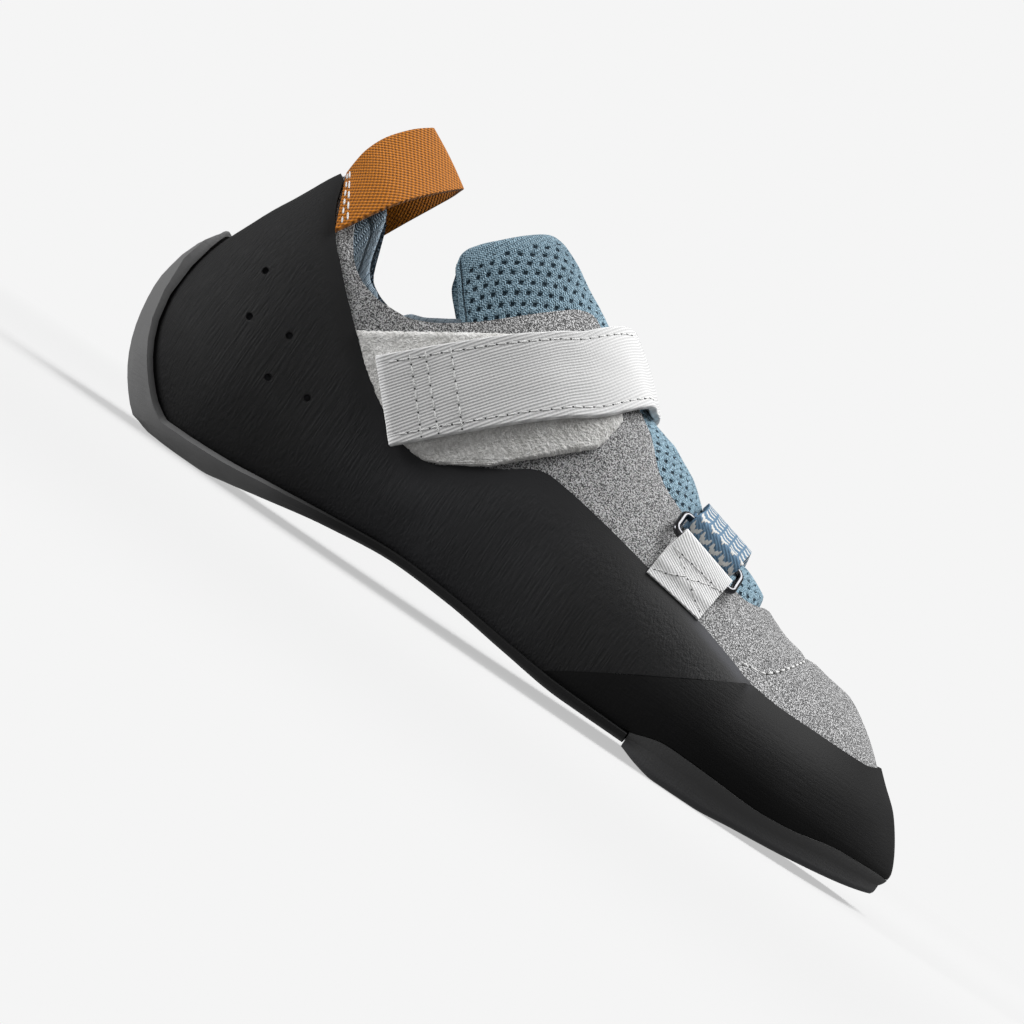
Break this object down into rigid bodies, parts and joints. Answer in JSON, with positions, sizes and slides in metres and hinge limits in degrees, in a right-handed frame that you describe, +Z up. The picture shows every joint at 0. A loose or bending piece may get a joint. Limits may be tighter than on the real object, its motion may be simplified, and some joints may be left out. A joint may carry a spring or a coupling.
{
  "type": "climbing shoe",
  "caption": "Right climbing shoe: hollow suede upper in a full rubber rand, split rubber sole, padded mesh tongue and cuff, hook strap, ring with elastic band, heel pull loop.",
  "frame": {"origin": "on the floor under the middle of the shoe's box", "axes": "+X from heel to toe, +Y to the medial (inner) side, +Z up from the floor"},
  "size_m": [0.2638, 0.0912, 0.116],
  "materials": {
    "suede": "napped suede, heathered mid grey",
    "rand_rubber": "matt charcoal rubber, finely scored",
    "sole_rubber": "matt charcoal rubber",
    "insole_board": "felted fibre board",
    "spacer_mesh": "steel blue spacer mesh with diamond holes",
    "fleece": "pale grey looped fleece",
    "strap_web": "pale grey fine twill",
    "tab_web": "off-white ribbed webbing",
    "ring_wire": "black nickel gloss",
    "band_web": "steel blue woven elastic with off-white zigzag",
    "loop_web": "orange herringbone webbing"
  },
  "bodies": {
    "root": {"upper": "suede", "heel_rand": "rand_rubber", "toe_rand": "rand_rubber", "heel_sole": "sole_rubber", "forefoot_sole": "sole_rubber", "insole": "insole_board", "tongue": "spacer_mesh", "heel_cuff": "spacer_mesh", "fleece_patch": "fleece", "closure_strap": "strap_web", "ring_tab": "tab_web", "ring": "ring_wire", "cross_band": "band_web", "pull_loop": "loop_web"}
  },
  "joints": []
}
